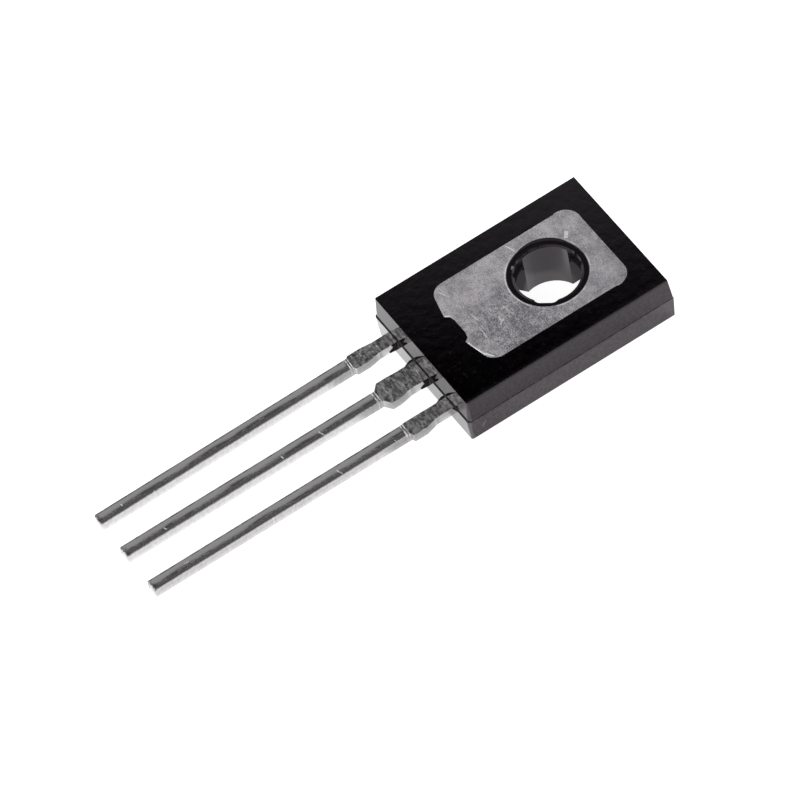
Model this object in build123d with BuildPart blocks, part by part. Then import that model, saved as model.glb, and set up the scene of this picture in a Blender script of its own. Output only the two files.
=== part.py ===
from build123d import *
from math import atan2, tan
import os

# Three-lead plastic power transistor with a screw hole, lying on its marking face.
# Millimetres and degrees. The origin is where the axis of the screw hole meets the marking
# face. +Y runs away from the leads, +Z up to the bare metal pad on the back, and +X from the
# base lead towards the emitter lead.

os.makedirs("parts", exist_ok=True)

# Moulded case. Its outline is given where the two mould halves meet.
case_width = 7.62
case_far_end = 4.03  # screw hole axis to the end away from the leads
case_lead_end = 6.98  # screw hole axis to the end that the leads leave
case_thickness = 2.60
parting_height = 1.33  # the mould parts here, at the back faces of the leads
parting_step = 0.015  # the back half of the mould is this much smaller all round
lead_end_step = 0.05  # and this much at the end that the leads leave
front_draft = 2.6
back_draft = 4.5
far_corner_radius = 0.30
lead_end_corner_radius = 0.17
front_edge_radius = 0.05

# Screw hole, and the slots left by the three mould pins that hold the pad down
hole_radius = 1.50
hole_lip_width = 0.12  # the collar's face slopes gently down to the hole
hole_lip_drop = 0.04
slot_width = 1.10
slot_reach = 2.30  # screw hole axis to a slot's outer wall
slot_corner_radius = 0.20
slot_angles = (90.0, 217.5, 322.5)
relief_reach = 1.61  # the pins' shoulders also marked the collar, this far from the axis
relief_depth = 0.58
relief_corner_radius = 0.30

# Collector pad, the thick part of the stamped frame, bare on the back of the case
pad_width = 5.03
pad_far_end = 2.90  # screw hole axis to the pad's far edge
pad_thickness = 0.75
pad_corner_across = 0.74
pad_corner_along = 0.85
pad_hole_radius = 1.82  # a collar of the case lines this hole
pad_hole_edge_radius = 0.06
pad_nib = 0.04  # the far corners' punch left a small point on each side
pad_nib_length = 0.07
pad_shoulder = 4.05  # screw hole axis to where the pad's near corners begin
pad_shoulder_across = 0.47
pad_shoulder_along = 0.67
pad_chin = 4.98  # screw hole axis to the pad's two lowest points, beside the neck
arch_foot = 0.16  # the pad's edge rises steeply beside the neck, over this width
arch_haunch = 0.45  # from there to this distance from the neck's side it levels out
arch_haunch_drop = 0.07
collar_recess = 0.07  # the collar's face lies this far below the pad's
lock_step_width = 0.20  # coined step round the pad's front side, gripped by the case
lock_step_height = 0.30

# Neck of the collector frame, bent from the pad's plane to the leads' plane
neck_width = 1.74
neck_bend = 4.70  # screw hole axis to where the neck leaves the back of the case
neck_run = 1.10  # length of the slope, along the case
neck_bend_radius = 0.32
neck_flare = 0.40

# Leads
lead_pitch = 2.29
lead_width = 0.67
lead_thickness = 0.50
lead_length = 15.74  # from the case to the tips
lead_edge_radius = 0.05
lead_tip_radius = 0.12
base_tip_drift = 0.12  # the base lead leans this much towards the middle one
middle_lead_width = 1.17  # where it leaves the case
middle_stub_width = 1.33
middle_stub_taper = 0.26
outer_stub_width = 0.85
outer_stub_taper = 0.08
stub_shoulder = 0.60  # length of the slope on its side nearest the case
stub_start = 1.24  # what is left of the cut dam bar, measured from the case
stub_end = 2.27
stub_shift = 0.05  # the cutting punches stood this much nearer to the emitter lead
stub_shift_step = 0.03  # less than that at the base lead, and more at the emitter lead

# Inner ends of the base and emitter leads, where the bond wires land
post_width = 1.30
post_length = 0.95
post_inset = 0.45  # from the case's lead end to where the lead begins to widen
post_flare = 0.30
post_shift = 0.05  # the post lies this much nearer to the middle than its lead
post_corner_radius = 0.15

# Chip, solder and bond wires
chip_size = 1.70
chip_thickness = 0.26
chip_centre = 3.25  # screw hole axis to the middle of the chip
solder_margin = 0.10
solder_thickness = 0.05
base_wire_diameter = 0.15
emitter_wire_diameter = 0.25
wire_cover = 0.68  # from the case's marking face to the middle of the wires' loops
wire_foot_length = 0.36
wire_foot_width = 1.5  # in wire diameters
wire_foot_height = 0.6
wire_seat = 0.55  # height of the wire's centre line where it leaves a foot
wire_heel = 0.4  # the foot reaches this far under the loop
bond_pad_across = 0.42  # from the middle of the chip to a bond
bond_pad_along = 0.25

# Resin that bled beside the leads, up to where the dam bar was
flash_film = 0.05
flash_film_length = 0.32  # at the lead's back face
flash_film_notch = 0.19
flash_film_spike = 0.45
flash_film_foot = 0.08
flash_spike_height = 0.06  # above the lead's front face
flash_notch_height = 0.22
flash_web = 0.15
flash_web_length = 0.50
flash_flake_width = 0.30
flash_flake_length = 0.09
flash_flake_thickness = 0.04

lead_plane = parting_height - lead_thickness  # the leads' front faces
lead_tip = case_lead_end + lead_length
stub_top = case_lead_end + stub_start
stub_bottom = case_lead_end + stub_end
pad_plane = case_thickness - pad_thickness  # the pad's front face
chip_plane = pad_plane - solder_thickness - chip_thickness
collar_face = case_thickness - collar_recess
post_start = case_lead_end - post_inset - post_flare
post_end = post_start - post_length
lead_sides = {"base_lead": -1, "emitter_lead": 1}
tolerance = 0.001  # for picking edges and faces by height


def draw_lead(place, start, root_width, stub_width, stub_taper, tip_drift):
    """Stamped outline of one lead from y = -start to its tip; place is -1, 0 or 1."""
    middle = place * lead_pitch
    cut_middle = middle + stub_shift + place * stub_shift_step
    half = lead_width / 2
    root = root_width / 2
    stub = stub_width / 2
    tip = Polygon(
        (middle - half, -stub_top),
        (middle + half, -stub_top),
        (middle + half, -stub_bottom),
        (middle + tip_drift + half, -lead_tip),
        (middle + tip_drift - half, -lead_tip),
        (middle - half, -stub_bottom),
        align=None,
    )
    fillet(tip.vertices().group_by(Axis.Y)[0], radius=lead_tip_radius)
    Polygon(
        (middle - root, -start),
        (middle - root, -stub_top + stub_shoulder / 2),
        (cut_middle - stub, -stub_top - stub_shoulder / 2),
        (cut_middle - stub, -stub_bottom + stub_taper),
        (middle - half, -stub_bottom),
        (middle + half, -stub_bottom),
        (cut_middle + stub, -stub_bottom + stub_taper),
        (cut_middle + stub, -stub_top - stub_shoulder / 2),
        (middle + root, -stub_top + stub_shoulder / 2),
        (middle + root, -start),
        align=None,
    )


def rolled_edges(part):
    """Edges of the leads' back faces that the punch rolled over, from the cut dam bar to the tip."""
    faces = part.faces().filter_by(Axis.Z)
    back_faces = faces.filter_by_position(
        Axis.Z, parting_height - tolerance, parting_height + tolerance
    )
    return back_faces.edges().filter_by_position(Axis.Y, -lead_tip - tolerance, -stub_bottom)


def draw_outline(side, far_end, lead_end):
    """Outline of one half of the case at the parting plane."""
    outline = Polygon(
        (-side, -lead_end),
        (side, -lead_end),
        (side, far_end),
        (-side, far_end),
        align=None,
    )
    corners = outline.vertices().group_by(Axis.Y)
    fillet(corners[0], radius=lead_end_corner_radius)
    fillet(corners[-1], radius=far_corner_radius)


def draw_slots(reach, corner_radius):
    """Outline of the three pins' marks beside the screw hole, out to the given distance."""
    for angle in slot_angles:
        with Locations(Location((0, 0, 0), (0, 0, angle))):
            slot = Rectangle(reach, slot_width, align=(Align.MIN, Align.CENTER))
        outer_corners = slot.vertices().sort_by_distance((0, 0, 0))[-2:]
        fillet(outer_corners, radius=corner_radius)


# Base and emitter leads: a bond post inside the case, a straight run outside it
leads = {}
for name, side in lead_sides.items():
    with BuildPart() as lead:
        middle = side * lead_pitch
        post_middle = side * (lead_pitch - post_shift)
        drift = base_tip_drift if name == "base_lead" else 0
        with BuildSketch(Plane.XY.offset(lead_plane)):
            draw_lead(
                side,
                case_lead_end - post_inset,
                lead_width,
                outer_stub_width,
                outer_stub_taper,
                drift,
            )
            post = Polygon(
                (middle - lead_width / 2, -case_lead_end + post_inset),
                (post_middle - post_width / 2, -post_start),
                (post_middle - post_width / 2, -post_end),
                (post_middle + post_width / 2, -post_end),
                (post_middle + post_width / 2, -post_start),
                (middle + lead_width / 2, -case_lead_end + post_inset),
                align=None,
            )
            fillet(post.vertices().group_by(Axis.Y)[-1], radius=post_corner_radius)
        extrude(amount=lead_thickness)
        fillet(rolled_edges(lead), radius=lead_edge_radius)
    lead.part.label = name
    export_step(lead.part, f"parts/{name}.step")
    leads[name] = lead.part

# Collector frame: one stamping of two thicknesses, the thick pad and the thin middle lead
with BuildPart() as collector_frame:
    with BuildSketch(Plane.YZ):
        with BuildLine():
            drop = case_thickness - parting_height
            bend_allowance = neck_bend_radius * tan(atan2(drop, neck_run) / 2)
            FilletPolyline(
                (-pad_shoulder, case_thickness - lead_thickness / 2),
                (-neck_bend - bend_allowance, case_thickness - lead_thickness / 2),
                (-neck_bend - bend_allowance - neck_run, lead_plane + lead_thickness / 2),
                (-lead_tip, lead_plane + lead_thickness / 2),
                radius=neck_bend_radius,
            )
        trace(line_width=lead_thickness)
    extrude(amount=neck_width / 2, both=True)
    with BuildSketch(Plane.XY):
        neck_end = neck_bend + neck_run + bend_allowance
        draw_lead(
            0, neck_end, middle_lead_width, middle_stub_width, middle_stub_taper, 0
        )
        Polygon(
            (-neck_width / 2, -pad_shoulder),
            (-neck_width / 2, -neck_end + neck_flare),
            (-middle_lead_width / 2, -neck_end),
            (middle_lead_width / 2, -neck_end),
            (neck_width / 2, -neck_end + neck_flare),
            (neck_width / 2, -pad_shoulder),
            align=None,
        )
    extrude(amount=case_thickness, mode=Mode.INTERSECT)
    fillet(rolled_edges(collector_frame), radius=lead_edge_radius)

    with BuildSketch(Plane.XY.offset(pad_plane)) as pad_outline:
        with BuildLine():
            side_x = pad_width / 2
            corner_y = pad_far_end - pad_corner_along
            corner_x = side_x - pad_corner_across
            shoulder_x = side_x - pad_shoulder_across
            shoulder_y = -pad_shoulder - pad_shoulder_along
            Line((0, pad_far_end), (corner_x, pad_far_end))
            TangentArc((corner_x, pad_far_end), (side_x + pad_nib, corner_y), tangent=(1, 0))
            Polyline(
                (side_x + pad_nib, corner_y),
                (side_x, corner_y - pad_nib_length),
                (side_x, -pad_shoulder),
            )
            TangentArc((side_x, -pad_shoulder), (shoulder_x, shoulder_y), tangent=(0, -1))
            Polyline(
                (shoulder_x, shoulder_y),
                (neck_width / 2, -pad_chin),
                (neck_width / 2 - arch_foot, -neck_bend - arch_haunch_drop),
                (neck_width / 2 - arch_haunch, -neck_bend),
                (0, -neck_bend),
            )
            mirror(about=Plane.YZ)
        make_face()
    extrude(amount=pad_thickness)
    with BuildSketch(Plane.XY.offset(pad_plane)):
        add(pad_outline.sketch_local)
        offset(amount=lock_step_width, kind=Kind.INTERSECTION)
    extrude(amount=lock_step_height)
    Hole(radius=pad_hole_radius)
    hole_edges = collector_frame.edges().filter_by(GeomType.CIRCLE).group_by(Axis.Z)[-1]
    rim = hole_edges.sort_by(SortBy.LENGTH)[-1]
    fillet(rim, radius=pad_hole_edge_radius)
collector_frame.part.label = "collector_frame"
export_step(collector_frame.part, "parts/collector_frame.step")

# Solder and silicon chip on the pad's front face
with BuildPart() as chip_solder:
    with BuildSketch(Plane.XY.offset(pad_plane - solder_thickness)):
        with Locations((0, -chip_centre)):
            Rectangle(chip_size + 2 * solder_margin, chip_size + 2 * solder_margin)
    extrude(amount=solder_thickness)
chip_solder.part.label = "chip_solder"
export_step(chip_solder.part, "parts/chip_solder.step")

with BuildPart() as transistor_chip:
    with BuildSketch(Plane.XY.offset(chip_plane)):
        with Locations((0, -chip_centre)):
            Rectangle(chip_size, chip_size)
    extrude(amount=chip_thickness)
transistor_chip.part.label = "transistor_chip"
export_step(transistor_chip.part, "parts/transistor_chip.step")

# Aluminium bond wires, each with a flattened foot on the chip and one on its lead's post
wires = []
wire_kinds = (
    ("base_wire", lead_sides["base_lead"], base_wire_diameter),
    ("emitter_wire", lead_sides["emitter_lead"], emitter_wire_diameter),
)
for name, side, diameter in wire_kinds:
    chip_bond = Vector(side * bond_pad_across, -chip_centre - bond_pad_along, chip_plane)
    post_bond = Vector(side * (lead_pitch - post_shift), -post_end - post_length / 2, lead_plane)
    span = Vector(post_bond.X - chip_bond.X, post_bond.Y - chip_bond.Y, 0)
    along = span.normalized()
    # In this plane X runs along the wire and Y runs down, away from the chip's face
    wire_plane = Plane(chip_bond, x_dir=along, z_dir=Vector(-along.Y, along.X, 0))
    seat = wire_seat * diameter
    post_depth = chip_plane - lead_plane
    loop_depth = chip_plane - wire_cover
    foot = wire_foot_length
    heel = wire_heel * diameter
    with BuildPart() as bond_wire:
        with BuildLine(wire_plane) as loop:
            ThreePointArc(
                (foot, seat),
                (span.length / 2, loop_depth),
                (span.length - foot, post_depth + seat),
            )
        with BuildSketch(Plane(loop.line @ 0, z_dir=loop.line % 0)):
            Circle(diameter / 2)
        sweep()
        for bond, reach in ((chip_bond, along), (post_bond, -along)):
            with BuildSketch(Plane(bond, x_dir=reach, z_dir=(0, 0, -1))):
                Rectangle(
                    foot + heel, wire_foot_width * diameter, align=(Align.MIN, Align.CENTER)
                )
            extrude(amount=wire_foot_height * diameter)
    bond_wire.part.label = name
    export_step(bond_wire.part, f"parts/{name}.step")
    wires.append(bond_wire.part)

# Moulded epoxy case, closed round everything that it holds
with BuildPart() as case:
    with BuildSketch(Plane.XY.offset(parting_height)):
        draw_outline(case_width / 2, case_far_end, case_lead_end)
    extrude(amount=-parting_height, taper=front_draft)
    front_face = case.faces().sort_by(Axis.Z)[0]
    fillet(front_face.edges(), radius=front_edge_radius)
    with BuildSketch(Plane.XY.offset(parting_height)):
        draw_outline(
            case_width / 2 - parting_step,
            case_far_end - parting_step,
            case_lead_end - lead_end_step,
        )
    extrude(amount=case_thickness - parting_height, taper=back_draft)

    # Resin left on the sides of the leads
    root = -case_lead_end
    half = lead_width / 2
    middle_half = middle_lead_width / 2
    films = (-lead_pitch + half, middle_half)
    webs = (-middle_half, lead_pitch - half)
    for x in films:
        with BuildSketch(Plane.YZ.offset(x)):
            Polygon(
                (root + flash_film, lead_plane),
                (root - flash_film_foot, lead_plane),
                (root - flash_film_spike, lead_plane + flash_spike_height),
                (root - flash_film_notch, lead_plane + flash_notch_height),
                (root - flash_film_length, parting_height),
                (root + flash_film, parting_height),
                align=None,
            )
        extrude(amount=flash_film)
    with BuildSketch(Plane.XY.offset(lead_plane)):
        for x in webs:
            Polygon(
                (x, root + flash_web),
                (x - flash_web, root + flash_web),
                (x - flash_web, root - flash_web),
                (x, root - flash_web_length),
                align=None,
            )
    extrude(amount=lead_thickness)
    with BuildSketch(Plane.XY.offset(parting_height - flash_flake_thickness)):
        flake_x = lead_pitch + half
        Polygon(
            (flake_x, root + flash_web),
            (flake_x + flash_flake_width, root + flash_web),
            (flake_x + flash_flake_width, root),
            (flake_x, root - flash_flake_length),
            align=None,
        )
    extrude(amount=flash_flake_thickness)

    # Room for what the case holds
    for piece in (*leads.values(), collector_frame.part, chip_solder.part):
        add(piece, mode=Mode.SUBTRACT)
    for piece in (transistor_chip.part, *wires):
        add(piece, mode=Mode.SUBTRACT)

    # Collar inside the pad's hole, the screw hole through it and the slots beside it
    with BuildSketch(Plane.XY.offset(case_thickness)):
        Circle(pad_hole_radius + pad_hole_edge_radius)
    extrude(amount=-collar_recess, mode=Mode.SUBTRACT)
    Hole(radius=hole_radius)
    with Locations((0, 0, collar_face)):
        Cone(
            hole_radius,
            hole_radius + hole_lip_width,
            hole_lip_drop,
            align=(Align.CENTER, Align.CENTER, Align.MAX),
            mode=Mode.SUBTRACT,
        )
    with BuildSketch():
        draw_slots(slot_reach, slot_corner_radius)
    extrude(amount=pad_plane, mode=Mode.SUBTRACT)
    with BuildSketch(Plane.XY.offset(collar_face)):
        draw_slots(relief_reach, relief_corner_radius)
    extrude(amount=-relief_depth, mode=Mode.SUBTRACT)
case.part.label = "case"
export_step(case.part, "parts/case.step")
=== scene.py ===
from math import atan2, hypot

import bmesh
import bpy
from mathutils import Matrix, Vector

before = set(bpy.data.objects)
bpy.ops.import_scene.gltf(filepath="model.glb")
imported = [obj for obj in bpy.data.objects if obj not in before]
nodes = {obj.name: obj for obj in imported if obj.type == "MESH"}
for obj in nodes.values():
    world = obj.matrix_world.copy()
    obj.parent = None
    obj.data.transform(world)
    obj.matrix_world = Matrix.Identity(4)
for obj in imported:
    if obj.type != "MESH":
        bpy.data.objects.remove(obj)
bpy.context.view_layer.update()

# Collector frame: one stamping of copper strip in two thicknesses. The thick half is nickel
# plated, tumbled matt and left bare on the back of the case as the heat-sink pad. The thin
# half runs out as the middle lead and is dipped in tin.
soft = {"interpolation_type": "SMOOTHSTEP"}


def linear(code):
    """An sRGB hex colour as linear red, green, blue and alpha."""
    channels = [int(code[i : i + 2], 16) / 255 for i in (1, 3, 5)]
    return [c / 12.92 if c < 0.04045 else ((c + 0.055) / 1.055) ** 2.4 for c in channels] + [1]


def add(material, kind, inputs=(), **settings):
    """Adds a shader node with its settings. An input is a value, a hex colour or a link."""
    node = material.node_tree.nodes.new("ShaderNode" + kind)
    for name, value in settings.items():
        setattr(node, name, value)
    for name, value in inputs.items() if isinstance(inputs, dict) else enumerate(inputs):
        if isinstance(value, bpy.types.Node):
            value = value.outputs[0]
        if isinstance(value, bpy.types.NodeSocket):
            material.node_tree.links.new(value, node.inputs[name])
        else:
            node.inputs[name].default_value = linear(value) if isinstance(value, str) else value
    return node


def combine(material, *parts, operation="MULTIPLY"):
    """Joins masks and numbers into one, by multiplying them unless told otherwise.

    A tuple stands for a soft step: a value, where its mask is 0, and where it is 1. So
    (z, 2.5, 2.35) is a mask that is empty above 2.5 mm and full below 2.35 mm.
    """
    joined = None
    for part in parts:
        if isinstance(part, tuple):
            value, none, full = part
            ends = (none, full, 0, 1) if none < full else (full, none, 1, 0)
            part = add(material, "MapRange", (value, *ends), **soft)
        if joined is None:
            joined = part
        else:
            joined = add(material, "Math", (joined, part), operation=operation)
    return joined


def lay(material, base, *layers):
    """A colour or a number with others laid over it, each where its mask is 1."""
    is_colour = isinstance(base, str) or getattr(base, "type", "") == "RGBA"
    kind, slot, out = ("RGBA", 6, 2) if is_colour else ("FLOAT", 2, 0)
    for mask, top in layers:
        mixed = add(material, "Mix", {0: mask, slot: base, slot + 1: top}, data_type=kind)
        base = mixed.outputs[out]
    return base


def start_material(name):
    """An empty material, the place on the object in millimetres, and that place's x, y and z."""
    material = bpy.data.materials.new(name)
    material.use_nodes = True
    material.node_tree.nodes.clear()
    metres = add(material, "TexCoord").outputs["Object"]
    place = add(material, "VectorMath", {0: metres, "Scale": 1000}, operation="SCALE")
    return material, place, add(material, "SeparateXYZ", (place,)).outputs


def mottle(material, place, size, low, high, detail=3.0, softness=0.2, stretch=(1, 1, 1)):
    """Cloudy patches of the given size in millimetres, from low to high, with soft edges."""
    spread = add(material, "VectorMath", (place, stretch), operation="MULTIPLY")
    cloud = add(material, "TexNoise", {"Vector": spread, "Scale": 1 / size, "Detail": detail})
    return add(material, "MapRange", (cloud, 0.5 - softness, 0.5 + softness, low, high), **soft)


def stripe(material, value, middle, width):
    """1 within half the width of the middle, fading out over as much again."""
    gap = add(material, "Math", (value, middle), operation="SUBTRACT")
    gap = add(material, "Math", (gap,), operation="ABSOLUTE")
    return combine(material, (gap, width, width / 2))


def scratch(material, place, start, end, width):
    """1 on a straight scratch between two points seen from above, in millimetres."""
    run, rise = end[0] - start[0], end[1] - start[1]
    middle = ((start[0] + end[0]) / 2, (start[1] + end[1]) / 2, 0)
    inputs = {"Vector": place, "Location": middle, "Rotation": (0, 0, atan2(rise, run))}
    turned = add(material, "Mapping", inputs, vector_type="TEXTURE")
    along, across, _ = add(material, "SeparateXYZ", (turned,)).outputs
    along = add(material, "Math", (along,), operation="ABSOLUTE")
    half = hypot(run, rise) / 2
    return combine(material, (along, half, half * 0.7), stripe(material, across, 0, width))


def distance(material, x, y, axis=(0, 0, 0)):
    """How far a place is from the hole's axis, or another upright one, in millimetres."""
    flat = add(material, "CombineXYZ", (x, y))
    return add(material, "VectorMath", (flat, axis), operation="DISTANCE").outputs["Value"]


def dress(name, material):
    """Gives a carried-over node its one finish."""
    nodes[name].data.materials.clear()
    nodes[name].data.materials.append(material)


def finish_metal(name, material, colour, roughness, height, metallic=1):
    """A metal's shader, with its relief in millimetres, put on a carried-over node."""
    # The height is in millimetres and Bump reads metres
    relief = add(material, "Bump", {"Height": height, "Distance": 0.001, "Strength": 1})
    inputs = {"Base Color": colour, "Metallic": metallic, "Roughness": roughness}
    surface = add(material, "BsdfPrincipled", {**inputs, "Normal": relief})
    add(material, "OutputMaterial", {"Surface": surface})
    dress(name, material)


# Tin looks like bright solder: a smooth crowned skin along the lead, which mirrors the room in
# two tones, and a dull cloudy skin near the case, where the dam bar was cut away.
crown = 0.62  # the skin's slope per millimetre from the crown's axis
crown_shift = 0.03  # the crown's axis lies this far right of the lead's middle
crown_start = -9.45  # the skin is crowned from here outwards
lean_start = -9.25  # and the base lead leans from here outwards
lead_top = 1.33
lead_tip = -22.72
case_end = -6.98  # where the case's two halves meet on the end that the leads leave
line_width = 0.03
nick_width = 0.035
tin_bright = "#dedcdc"
tin_cloudy = "#bebcbd"
tin_rough_shaded = "#868384"
tin_pitted = "#666465"
tin_thin = "#4c4a4a"
tin_stained = "#2a2828"


def tin_skin(material, place, split, middle, lean, cut_tones, cross_lines, nicks):
    """Colour, roughness, height in millimetres and metallic share of the tin on one lead."""
    x, y, z = split
    run = add(material, "Math", (lean_start, y), operation="SUBTRACT")
    run = combine(material, run, 0, operation="MAXIMUM")
    axis = add(material, "Math", (run, lean, middle + crown_shift), operation="MULTIPLY_ADD")
    across = add(material, "Math", (x, axis), operation="SUBTRACT")
    drawn = combine(material, (y, crown_start + 0.1, crown_start - 0.1))
    upper = combine(material, (z, lead_top - 0.06, lead_top - 0.01))
    near_case = combine(material, (y, crown_start - 0.1, crown_start + 0.1), upper)
    # On the upper face, right of the middle, the skin is duller and mottled darker: partly
    # rougher tin and partly painted shade. The edge of that part runs unevenly
    uneven = mottle(material, place, 0.25, -0.10, 0.10, 4, 0.2, (1, 0.4, 1))
    ridge = combine(material, across, uneven, operation="ADD")
    right = combine(material, (ridge, 0.0, 0.10), upper)
    speck = mottle(material, place, 0.13, 0, 1, 4, 0.22)
    patch = mottle(material, place, 0.34, 0, 1, 6, 0.13)
    cloudy = combine(material, near_case, patch)
    rough_and_shaded_side = combine(material, drawn, right, speck, 0.7)
    dull = combine(material, rough_and_shaded_side, cloudy, operation="MAXIMUM")
    # Lines coined across the lead, which wear off towards the case, and small nicks
    lines = [scratch(material, place, *line, line_width) for line in cross_lines]
    lines = combine(material, *lines, operation="MAXIMUM")
    worn = mottle(material, place, 0.2, 0.2, 1, 2, 0.15)
    faint = add(material, "MapRange", (y, lean_start, -9.2, 1, 0.4), **soft)
    lines = combine(material, lines, worn, faint)
    nicked = [scratch(material, place, *nick, nick_width) for nick in nicks]
    nicked = combine(material, *nicked, operation="MAXIMUM")
    nicked = combine(material, nicked, mottle(material, place, 0.1, 0.2, 0.9, 2, 0.15))
    shiny = combine(material, lines, nicked, operation="MAXIMUM")
    # The sheared sides show faint upright streaks, and painted light lightens them towards the
    # front face
    streak = mottle(material, place, 0.16, 0, 0.4, 4, 0.25, (1, 1, 0.5))
    light = combine(material, (z, 1.15, 0.85))
    light = add(material, "Math", (light, 0.6, streak), operation="MULTIPLY_ADD")
    sheared = lay(material, cut_tones[0], (light, cut_tones[1]))
    # Dark pits and pale ridges, left where the tin ran over the cut stubs
    pits = mottle(material, place, 0.15, 0, 0.75, 5, 0.09, (0.5, 1.1, 1))
    pits = combine(material, near_case, pits)
    # The skin is thin and dark along the rolled left edge and at the tip
    edge = mottle(material, place, 0.4, 0.35, 0.95, 3, 0.12)
    rolled = (z, lead_top - 0.13, lead_top - 0.07)
    edge = combine(material, (across, -0.255, -0.285), rolled, drawn, edge)
    tip = mottle(material, place, 0.16, 0.0, 0.8, 3, 0.12)
    near_top = (z, lead_top - 0.11, lead_top - 0.03)
    tip = combine(material, (y, lead_tip + 0.27, lead_tip + 0.1), near_top, tip)
    thin = combine(material, edge, tip, operation="MAXIMUM")
    thin = combine(material, thin, 0.8)
    # A thin film of resin darkens the skin where it enters the case
    stained = combine(material, (y, case_end, case_end + 0.025), upper)
    # The tones, from the skin's own to what marks it
    dull_tone = lay(material, tin_cloudy, (drawn, tin_rough_shaded))
    skin = lay(material, tin_bright, (dull, dull_tone), (pits, tin_pitted))
    layers = ((upper, skin), (thin, tin_thin), (stained, tin_stained), (shiny, "#ffffff"))
    colour = lay(material, sheared, *layers)
    roughness = lay(material, 0.16, (dull, 0.42), (shiny, 0.5))
    # The crown wanders a little along the lead, and the rest stands proud of it or is sunk
    wander = mottle(material, place, 2.5, -0.05, 0.05, 2, 0.15, (0.2, 1, 0.2))
    off_axis = combine(material, across, wander, operation="ADD")
    height = combine(material, off_axis, off_axis, -crown / 2, drawn)
    grit_height = lay(material, 0.0006, (right, 0.004))
    for pattern, rise in ((speck, grit_height), (cloudy, 0.012), (lines, -0.008)):
        height = add(material, "Math", (pattern, rise, height), operation="MULTIPLY_ADD")
    return colour, roughness, height, lay(material, 1, (shiny, 0.4))


# Nickel plate, tumbled: a grey, fine-grained matt metal, brighter where handling burnished it,
# with painted highlights round the punched hole and along the pad's edge, and painted glints.
# Its grain is drawn as coarse as it needs to show.
screw_rings = 42  # radians of their wave in each millimetre, which is a ring every 0.15 mm
pad_rim_highlight = 1.915
nickel_dark = "#8f8d93"
nickel_light = "#f2eef2"
nickel_painted_shade = "#0a090a"
plate, place, split = start_material("nickel_plate_and_dipped_tin")
x, y, z = split
grain = mottle(plate, place, 0.065, 0, 1, 4, 0.18)
coarse = mottle(plate, place, 0.24, 0, 1, 3, 0.14)
cloud = mottle(plate, place, 0.8, 0, 1, 5, 0.16)
from_hole = distance(plate, x, y)
# Screw heads have rubbed faint rings round the hole
ring_wave = combine(plate, from_hole, screw_rings)
ring_wave = add(plate, "Math", (ring_wave,), operation="SINE")
rings = combine(plate, (ring_wave, 0.2, 0.9), (from_hole, 2.9, 2.0), cloud)
# Right of the chip the plate is darker, and its grain is deeper there
dark_place = add(plate, "VectorMath", (place, (1.6, -2.5, 2.6)), operation="DISTANCE")
dark = combine(plate, (dark_place.outputs["Value"], 3.4, 0.8))
depth = lay(plate, 0.42, (dark, 0.75))
half_depth = combine(plate, depth, 0.5)
# Across the pad the tone falls towards +x and +y: painted shade
painted_shade_slant = combine(plate, x, y, operation="ADD")
tone = lay(plate, add(plate, "MapRange", (painted_shade_slant, 0.5, 3, 0.62, 0.48), **soft), (dark, 0.3))
for pattern, strength in ((grain, depth), (coarse, half_depth), (cloud, 0.3)):
    swing = add(plate, "Math", (pattern, 0.5), operation="SUBTRACT")
    tone = add(plate, "Math", (swing, strength, tone), operation="MULTIPLY_ADD")
tone = add(plate, "Math", (rings, 0.12, tone), operation="MULTIPLY_ADD", use_clamp=True)
# Scratches, each with its two ends and its width, and one pale fleck. The last four strokes
# are a painted highlight along the pad's edge beside the notch
strokes = (
    ((1.06, -3.27), (0.86, -2.93), 0.03),
    ((1.02, -3.10), (0.58, -3.07), 0.025),
    ((0.31, -2.60), (1.05, -2.42), 0.015),
    ((0.34, -2.50), (0.37, -2.78), 0.02),
    ((-0.30, -3.97), (0.26, -3.88), 0.025),
    ((0.70, -4.06), (1.33, -4.10), 0.025),
    ((-2.23, -4.46), (-1.6, -4.15), 0.02),
    ((-2.44, -0.65), (-1.93, -0.48), 0.025),
    # Painted highlight along the pad's edge beside the notch
    ((0.93, -4.93), (1.60, -4.83), 0.045),
    ((1.30, -4.87), (2.05, -4.66), 0.045),
    ((1.8, -4.76), (2.35, -4.38), 0.045),
    ((-0.9, -4.95), (-0.70, -4.72), 0.04),
)
scratches_and_edge_highlight = [scratch(plate, place, *stroke) for stroke in strokes]
scratches_and_edge_highlight = combine(plate, *scratches_and_edge_highlight, operation="MAXIMUM")
scratches_and_edge_highlight = combine(plate, scratches_and_edge_highlight, mottle(plate, place, 0.12, 0.6, 1, 2, 0.15))
fleck = scratch(plate, place, (-1.06, 1.69), (-1.42, 1.97), 0.12)
fleck = combine(plate, fleck, mottle(plate, place, 0.1, 0.3, 0.8, 2, 0.15))
# A painted highlight: a thin bright line round the rim of the pad's hole
rim_highlight = mottle(plate, place, 0.7, 0, 0.6, 3, 0.1)
rim_highlight = combine(plate, stripe(plate, from_hole, pad_rim_highlight, 0.035), rim_highlight)
glint = combine(plate, (mottle(plate, place, 0.09, 0, 1, 2, 0.3), 0.86, 0.97), 0.45)
bright = combine(plate, scratches_and_edge_highlight, fleck, rim_highlight, glint, operation="MAXIMUM")
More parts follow.
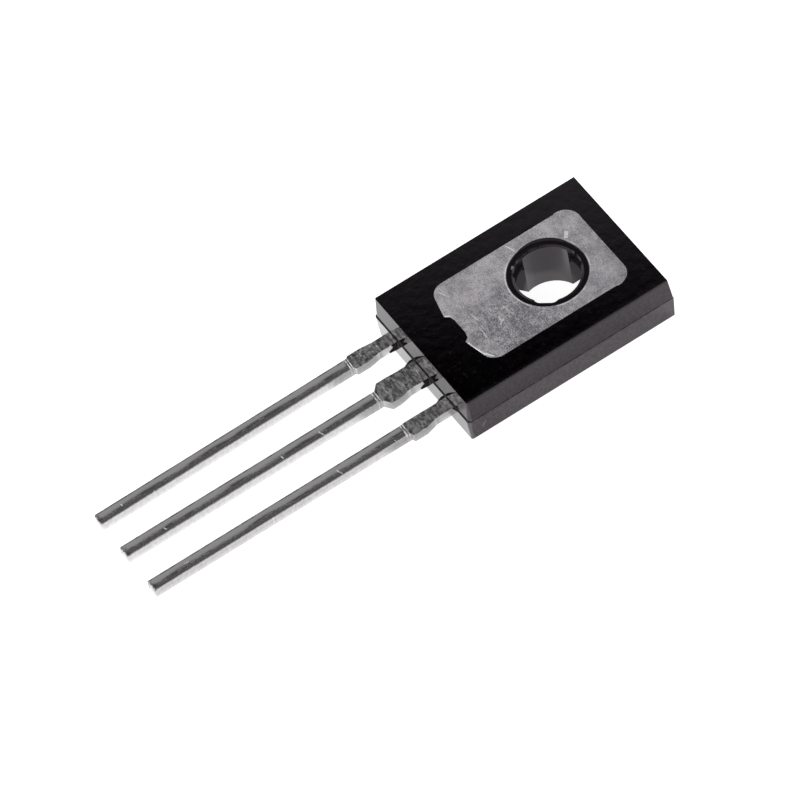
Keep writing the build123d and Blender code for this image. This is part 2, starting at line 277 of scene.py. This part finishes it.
# Painted shade over the rim of the pad's hole, furthest on the left: a ring and a wider disc
ring_shade = combine(plate, (from_hole, 1.88, 1.855))
left_shade_disc = combine(plate, (distance(plate, x, y, (-0.317, 0.148, 0)), 1.62, 1.60))
hole_rim_shade = combine(plate, ring_shade, left_shade_disc, operation="MAXIMUM")
hole_rim_shade = combine(plate, hole_rim_shade, (z, 2.50, 2.53))
bright = lay(plate, bright, (hole_rim_shade, 0))
nickel = (
    lay(plate, nickel_dark, (tone, nickel_light), (bright, "#ffffff"), (hole_rim_shade, nickel_painted_shade)),
    lay(plate, 0.66, (grain, 0.5)),
    add(plate, "Math", (grain, 0.012, combine(plate, cloud, 0.01)), operation="MULTIPLY_ADD"),
    lay(plate, 1, (bright, 0.3), (hole_rim_shade, 0)),
)
# A lead's cut sides, where they are darkest and lightest. The grey pair is the same tin with
# painted shade, used for the emitter lead
white_cut = ("#cccaca", "#f1f0f0")
shaded_grey_cut = ("#b9b6b7", "#e0dedf")
coined_lines = (
    ((-0.6, -9.30), (0.6, -9.33)),
    ((-0.6, -9.43), (0.6, -9.47)),
    ((-0.45, -8.89), (0.5, -8.81)),
    ((-0.3, -8.17), (0.45, -8.16)),
    ((-0.2, -8.09), (0.55, -8.07)),
    ((-0.35, -7.16), (0.45, -7.25)),
)
nicks = (
    ((-0.05, -12.44), (0.33, -12.30)),
    ((0.0, -14.47), (0.25, -14.42)),
    ((0.0, -20.63), (0.18, -20.56)),
)
tin = tin_skin(plate, place, split, 0, 0, white_cut, coined_lines, nicks)
on_lead = combine(plate, (y, -5.6, -5.8))
skins = [lay(plate, pad, (on_lead, lead)) for pad, lead in zip(nickel, tin)]
finish_metal("collector_frame", plate, *skins)

# Base and emitter leads: stamped from the thin half of the same strip and dipped in tin. Each
# is gripped by the case through its widened inner end, and sticks out straight.
pitch = 2.29
base_lean = 0.12 / 13.47  # sideways for each millimetre outwards
# Name, middle, lean, tones of the cut sides, lines coined across the lead, and nicks
outer_leads = (
    (
        "base_lead",
        -pitch,
        base_lean,
        white_cut,
        (
            ((-2.9, -9.25), (-1.7, -9.32)),
            ((-2.9, -9.35), (-1.7, -9.43)),
            ((-2.5, -8.67), (-2.25, -8.63)),
            ((-2.6, -8.09), (-2.1, -8.12)),
        ),
        (
            ((-2.26, -21.45), (-2.1, -21.42)),
            ((-1.97, -19.9), (-1.8, -19.87)),
            ((-2.4, -7.84), (-2.25, -7.81)),
        ),
    ),
    (
        "emitter_lead",
        pitch,
        0,
        # painted shade: these cut sides are darker than the other leads'
        shaded_grey_cut,
        (
            ((1.7, -9.30), (2.9, -9.33)),
            ((1.7, -9.40), (2.9, -9.46)),
            ((2.0, -7.19), (2.6, -7.16)),
            ((2.0, -7.52), (2.2, -7.51)),
        ),
        (
            ((2.2, -12.95), (2.58, -12.81)),
            ((2.47, -10.02), (2.62, -10.0)),
            ((2.2, -20.95), (2.25, -20.7)),
            ((2.58, -16.55), (2.7, -16.51)),
        ),
    ),
)
for name, *lead in outer_leads:
    tinned, place, split = start_material("dipped_tin_" + name)
    finish_metal(name, tinned, *tin_skin(tinned, place, split, *lead))

# Solder and chip: a thin pad of soft solder, dull and cloudy, holds a silicon chip, polished like
# a dark mirror, to the hidden face of the pad. Its two aluminium bond areas face the wires.
solder, place, _ = start_material("soft_solder_reflowed")
cloud = mottle(solder, place, 0.3, 0, 1, 4)
colour = lay(solder, "#9c9ca0", (cloud, "#c2c2c6"))
roughness = lay(solder, 0.35, (cloud, 0.5))
finish_metal("chip_solder", solder, colour, roughness, combine(solder, cloud, 0.004))

silicon, place, split = start_material("polished_silicon_metallised")
x, y, _ = split
base_area = combine(silicon, stripe(silicon, x, -0.42, 0.5), stripe(silicon, y, -3.6, 0.6))
emitter_area = combine(silicon, stripe(silicon, x, 0.42, 0.6), stripe(silicon, y, -3.25, 1.0))
bond_metal = combine(silicon, base_area, emitter_area, operation="MAXIMUM")
aluminium = lay(silicon, "#c9c9cc", (mottle(silicon, place, 0.05, 0, 1, 2), "#e2e2e4"))
colour = lay(silicon, "#5b5f6b", (bond_metal, aluminium))
roughness = lay(silicon, 0.08, (bond_metal, 0.35))
finish_metal("transistor_chip", silicon, colour, roughness, combine(silicon, bond_metal, 0.002))

# Bond wires: drawn aluminium, bright, with fine lines along it from the drawing. Each is pressed
# flat at both ends by the ultrasonic wedge that welded it to the chip and to its lead.
wire, place, _ = start_material("drawn_aluminium_wire")
lines = mottle(wire, place, 0.05, 0, 1, 3, 0.2, (1, 0.2, 1))
colour = lay(wire, "#c4c4c8", (lines, "#e6e6ea"))
roughness = lay(wire, 0.25, (lines, 0.4))
finish_metal("base_wire", wire, colour, roughness, combine(wire, lines, 0.001))
dress("emitter_wire", wire)

# Case: black epoxy moulding compound, transfer moulded round everything above in a polished
# two-part mould. It mirrors the room like dark glass, and its halves meet in a fine dark line.
epoxy, place, split = start_material("black_epoxy_moulded_gloss")
x, y, z = split
from_hole = distance(epoxy, x, y)
flow = mottle(epoxy, place, 0.5, 0, 1, 4, 0.25)
fine = mottle(epoxy, place, 0.09, 0, 1, 3, 0.2)
specks = combine(epoxy, (mottle(epoxy, place, 0.16, 0, 1, 2, 0.25), 0.86, 0.97), 0.25)
# The two halves meet in a fine broken line, which the hole's wall does not show
seam_height = 1.335
broken = mottle(epoxy, place, 0.35, 0.0, 0.7, 2, 0.1)
broken = combine(epoxy, broken, (from_hole, 3.0, 3.2))
seam = combine(epoxy, stripe(epoxy, z, seam_height, 0.018), broken)
# A knock left one pale streak on the long right side, made of two strokes along y and z
right_side = (x, 3.62, 3.68)
side_place = add(epoxy, "CombineXYZ", (y, z))
strokes = (((-6.30, 0.47), (-6.21, 0.72)), ((-6.25, 0.68), (-6.07, 0.80)))
rubbed = [scratch(epoxy, side_place, *stroke, 0.04) for stroke in strokes]
rubbed = combine(epoxy, *rubbed, operation="MAXIMUM")
rubbed = combine(epoxy, rubbed, right_side)
# Release agent from the mould has left a faint brown bloom on the long right side
bloom = mottle(epoxy, place, 0.17, 0, 1, 5, 0.08)
bloom = combine(epoxy, bloom, right_side, (z, 2.5, 2.35))
# Below the parting line the bloom is lighter: painted light
below_parting = combine(epoxy, (z, 1.34, 1.32))
bloom_and_lower_light_colour = lay(epoxy, "#2b2228", (below_parting, "#3e3138"))
# The pins tore the collar beside the hole, whose top is a dull ring with a rough lip on the left
pins = ((0.0, 2.3), (-1.82, -1.40), (1.82, -1.40))
torn = [combine(epoxy, (scratch(epoxy, place, (0, 0), pin, 1.0), 0.95, 1.0)) for pin in pins]
torn = combine(epoxy, *torn, operation="MAXIMUM")
torn = combine(epoxy, torn, (z, 1.75, 1.85), (z, 2.51, 2.49))
collar = combine(epoxy, (from_hole, 1.89, 1.87), (from_hole, 1.505, 1.53), (z, 2.28, 2.34))
lip = mottle(epoxy, place, 0.15, 0.3, 1, 4, 0.15)
lip = combine(epoxy, lip, collar, (from_hole, 1.66, 1.58), (x, -0.6, -1.0))
# A painted glint: one torn edge of the collar, pale
torn_edge_glint = scratch(epoxy, place, (-1.36, -0.96), (-1.17, -1.12), 0.09)
torn_edge_glint = combine(epoxy, torn_edge_glint, (z, 2.2, 2.3), mottle(epoxy, place, 0.08, 0.2, 1, 2, 0.15))
# The upper right edge is worn dull over a tenth of a millimetre, with small crumbs along it
worn = mottle(epoxy, place, 0.1, 0.45, 1, 2, 0.15)
worn = combine(epoxy, worn, (z, 2.45, 2.58), (x, 3.64, 3.67), 0.75)
crumbs = mottle(epoxy, place, 0.07, 0, 1, 2, 0.2)
crumbs = combine(epoxy, crumbs, (x, 3.45, 3.62), (z, 2.52, 2.58))
# The flash on the leads broke off dull too
flash = combine(epoxy, (y, case_end, case_end - 0.01))
dull = combine(epoxy, torn, collar, flash, worn, operation="MAXIMUM")
colour = lay(
    epoxy,
    "#010001",
    (flow, "#030203"),
    (specks, "#2c2629"),
    (bloom, bloom_and_lower_light_colour),
    (rubbed, "#8a8486"),
    (torn_edge_glint, "#7d787a"),
    (lip, "#151314"),
    (crumbs, "#121012"),
)
marred = combine(epoxy, seam, rubbed, operation="MAXIMUM")
collar_roughness = lay(epoxy, 0.12, (lip, 0.55))
layers = ((flow, 0.045), (marred, 0.5), (dull, 0.75), (collar, collar_roughness))
height = combine(epoxy, flow, 0.0004)
for pattern, rise in ((fine, 0.00004), (seam, -0.01)):
    height = add(epoxy, "Math", (pattern, rise, height), operation="MULTIPLY_ADD")
relief = add(epoxy, "Bump", {"Height": height, "Distance": 0.001, "Strength": 1})
gloss = {
    "Base Color": colour,
    "Roughness": lay(epoxy, 0.03, *layers),
    "IOR": 1.6,
    "Specular Tint": (1, 0.82, 0.97, 1),
    "Coat Weight": lay(epoxy, 1, (dull, 0)),
    "Coat Roughness": 0.03,
    "Coat IOR": 1.5,
    "Normal": relief,
    "Coat Normal": relief,
}
add(epoxy, "OutputMaterial", {"Surface": add(epoxy, "BsdfPrincipled", gloss)})
dress("case", epoxy)

# Floor: a wide sheet of white paper under the part, a hair below its marking face. It glows
# evenly towards the camera and keeps a faint shadow, and what the part mirrors of it is graded.
floor_half = 3
floor_drop = 0.00002
shape = bmesh.new()
lowered = Matrix.Translation((0, 0, -floor_drop))
bmesh.ops.create_grid(shape, x_segments=1, y_segments=1, size=floor_half, matrix=lowered)
floor_mesh = bpy.data.meshes.new("floor")
shape.to_mesh(floor_mesh)
shape.free()
floor = bpy.data.objects.new("floor", floor_mesh)
bpy.context.scene.collection.objects.link(floor)
paper_glow = 0.88  # with the lamps' light on top of it, the paper is plain white
paper, _, split = start_material("white_paper_matt")
x, y, _ = split
# Under the hole, and beside the long right side, the mirrored glow is turned down: painted
# shade. The glow that the side faces mirror is set by where on the paper, in millimetres,
# each of them looks.
squared = add(paper, "Math", (x, x, combine(paper, y, y)), operation="MULTIPLY_ADD")
hole_light = add(paper, "MapRange", (x, -1.0, -0.65, 0.36, 0.14), **soft)
hole_light = combine(paper, (squared, 3.2, 2.4), hole_light)
side_light = add(paper, "MapRange", (x, 4.4, 4.7, 0.2, 0.05), **soft)
side_rise = add(paper, "MapRange", (y, -6.0, -3.8, 0.55, 1), **soft)
side_light = combine(paper, side_light, side_rise)
side_light = combine(paper, hole_light, side_light, operation="ADD")
# In front of the leads' end of the case: bright close by and far out, and dim in between
front_light = add(paper, "MapRange", (y, -10.5, -9.8, 0.42, 0), **soft)
low_light = add(paper, "MapRange", (y, -7.6, -7.3, 0.3, 0.68), **soft)
front_light = combine(paper, front_light, low_light, operation="ADD")
along_end = add(paper, "MapRange", (x, -3.5, 2.5, 1.08, 0.82), **soft)
along_end = lay(paper, 1, (combine(paper, (y, -7.6, -7.3)), along_end))
front_light = combine(paper, front_light, along_end)
beside = combine(paper, (x, 40, 15), (y, -6.9, -6.6))
mirrored = lay(paper, front_light, (beside, side_light))
ray = add(paper, "LightPath").outputs
seen = combine(paper, ray["Is Camera Ray"], paper_glow)
mirrored = combine(paper, ray["Is Glossy Ray"], mirrored)
glow = combine(paper, seen, mirrored, operation="ADD")
matt = add(paper, "BsdfDiffuse", {"Color": "#c4c4c4"})
white = add(paper, "Emission", {"Color": "#ffffff", "Strength": glow})
add(paper, "OutputMaterial", {"Surface": add(paper, "AddShader", (matt, white))})
floor.data.materials.append(paper)

# Room: a white tent round the table, open and dark above the far side, so that the flat top
# faces mirror dark and the leads' crowned skins mirror both tones.
world = bpy.data.worlds.new("studio")
world.use_nodes = True
world.node_tree.nodes.clear()
bpy.context.scene.world = world
direction = add(world, "TexCoord").outputs["Generated"]
aim_x, aim_y, aim_z = add(world, "SeparateXYZ", (direction,)).outputs
# The opening's tone at each height of the direction, 0 at the horizon and 1 overhead
tones = (
    (0.0, 0.12),
    (0.25, 0.15),
    (0.50, 0.36),
    (0.765, 0.34),
    (0.787, 0.21),
    (0.7925, 0.11),
    (0.796, 0.06),
    (0.7985, 0.0),
    (0.803, 0.0),
    (0.806, 0.010),
    (0.88, 0.10),
    (1.0, 0.10),
)
opening = add(world, "ValToRGB", (aim_z,))
for height, tone in tones[1:-1]:
    opening.color_ramp.elements.new(height)
for stop, (height, tone) in zip(opening.color_ramp.elements, tones):
    stop.position = height
    stop.color = (tone, tone, tone, 1)
tent_white = (0.85, 0.85, 0.85, 1)
opening_middle = 0.24  # how far the middle of the opening leans towards the case's far end
off_axis = add(world, "Math", (aim_y, opening_middle), operation="SUBTRACT")
off_axis = add(world, "Math", (off_axis,), operation="ABSOLUTE")
sides = combine(world, (off_axis, 0.24, 0.42))
tent = combine(world, sides, combine(world, (aim_x, 0.15, 0.4)), operation="MAXIMUM")
# The tent hangs free of the table, so that what is mirrored low down is dim
tent = combine(world, tent, add(world, "MapRange", (aim_z, 0.15, 0.5, 0.2, 1), **soft))
camera_ray = add(world, "LightPath").outputs["Is Camera Ray"]
room = lay(world, opening.outputs[0], (tent, tent_white), (camera_ray, "#ffffff"))
background = add(world, "Background", {"Color": room, "Strength": 1})
add(world, "OutputWorld", {"Surface": background})

# Lamps: a soft key from the far left and a weaker fill from the near right, each with its
# place in metres, its width in metres and its power in watts
lamps = (("key", (-0.25, 0.15, 0.30), 0.25, 0.7), ("fill", (0.30, -0.25, 0.30), 0.30, 0.35))
for name, spot, width, power in lamps:
    lamp = bpy.data.lights.new(name, "AREA")
    lamp.energy = power
    lamp.size = width
    light = bpy.data.objects.new(name, lamp)
    turn = Vector(spot).to_track_quat("Z", "Y").to_matrix().to_4x4()
    light.matrix_world = Matrix.Translation(spot) @ turn
    light.visible_glossy = False
    bpy.context.scene.collection.objects.link(light)

# Camera: a long lens from the emitter side, above the leads
camera_data = bpy.data.cameras.new("camera")
camera_data.lens = 356.88
camera_data.sensor_width = 36
camera_data.clip_start = 0.01
camera = bpy.data.objects.new("camera", camera_data)
camera_place = (0.192434, -0.091827, 0.281992)
camera_right = Vector((0.54642, 0.82772, -0.12773))
camera_up = Vector((-0.63360, 0.50828, 0.58327))
camera_back = Vector((0.54770, -0.23778, 0.80218))
camera_axes = Matrix((camera_right, camera_up, camera_back)).transposed().to_4x4()
camera.matrix_world = Matrix.Translation(camera_place) @ camera_axes
bpy.context.scene.collection.objects.link(camera)
bpy.context.scene.camera = camera
bpy.context.scene.view_settings.view_transform = "Standard"
